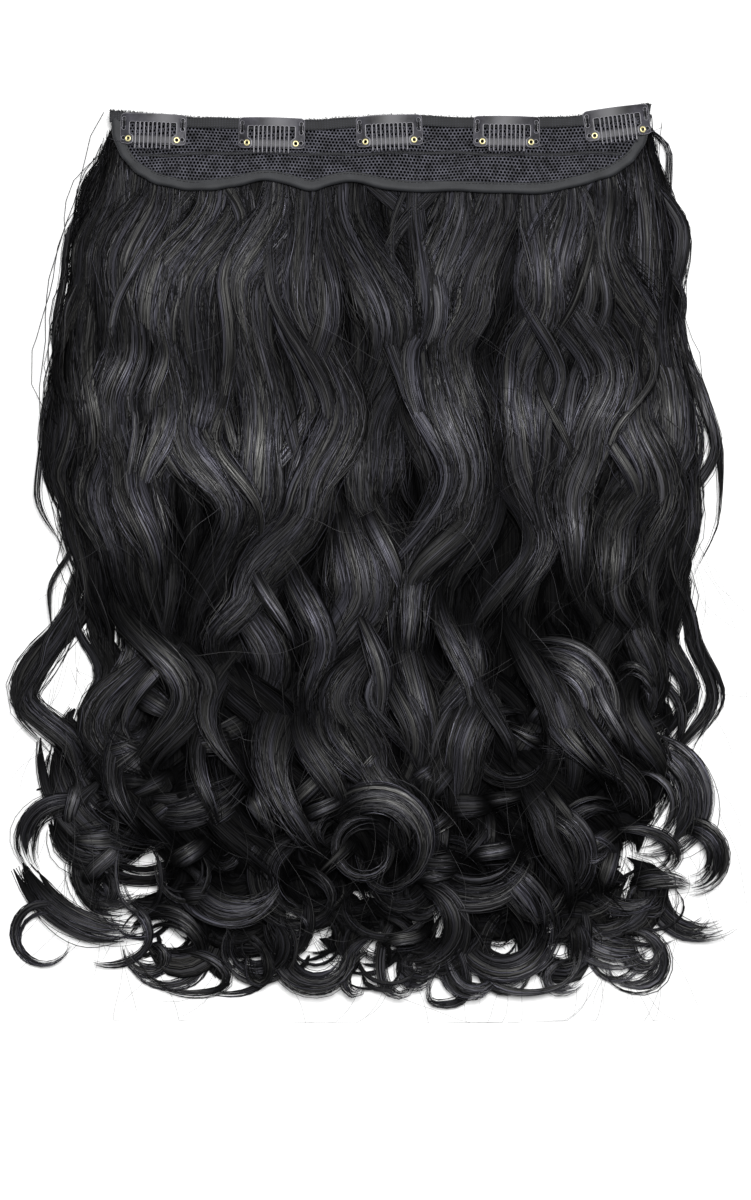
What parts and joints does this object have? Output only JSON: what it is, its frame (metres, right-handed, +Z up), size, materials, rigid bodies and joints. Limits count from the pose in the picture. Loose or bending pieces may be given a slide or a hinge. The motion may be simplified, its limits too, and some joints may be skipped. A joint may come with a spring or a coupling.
{
  "type": "clip in hair extension",
  "caption": "Wide one-piece clip-in hair extension: curved net base with snap combs, long wavy hair ending in ringlets, lying flat.",
  "frame": {"origin": "middle of the rectangle that the piece covers, on the surface it lies on", "axes": "+X along the band from the first comb to the last, +Y from the hair's tips to the band, +Z up from the surface, away from the head side"},
  "size_m": [0.3542, 0.4396, 0.027],
  "materials": {
    "hair": "black synthetic hair fibre with a soft sheen",
    "net": "black honeycomb net",
    "tape": "dark charcoal woven tape, matt",
    "comb": "gloss black paint on spring steel",
    "grip": "dark silicone, satin",
    "brass": "polished pale brass"
  },
  "bodies": {
    "root": {"hair": "hair", "base_net": "net", "top_band": "tape", "lower_binding": "tape", "net_seam": "tape", "comb_1": "comb", "bar_1": "comb", "grip_1": "grip", "eyelet_1_left": "brass", "eyelet_1_right": "brass", "comb_2": "comb", "bar_2": "comb", "grip_2": "grip", "eyelet_2_left": "brass", "eyelet_2_right": "brass", "comb_3": "comb", "bar_3": "comb", "grip_3": "grip", "eyelet_3_left": "brass", "eyelet_3_right": "brass", "comb_4": "comb", "bar_4": "comb", "grip_4": "grip", "eyelet_4_left": "brass", "eyelet_4_right": "brass", "comb_5": "comb", "bar_5": "comb", "grip_5": "grip", "eyelet_5_left": "brass", "eyelet_5_right": "brass"}
  },
  "joints": []
}
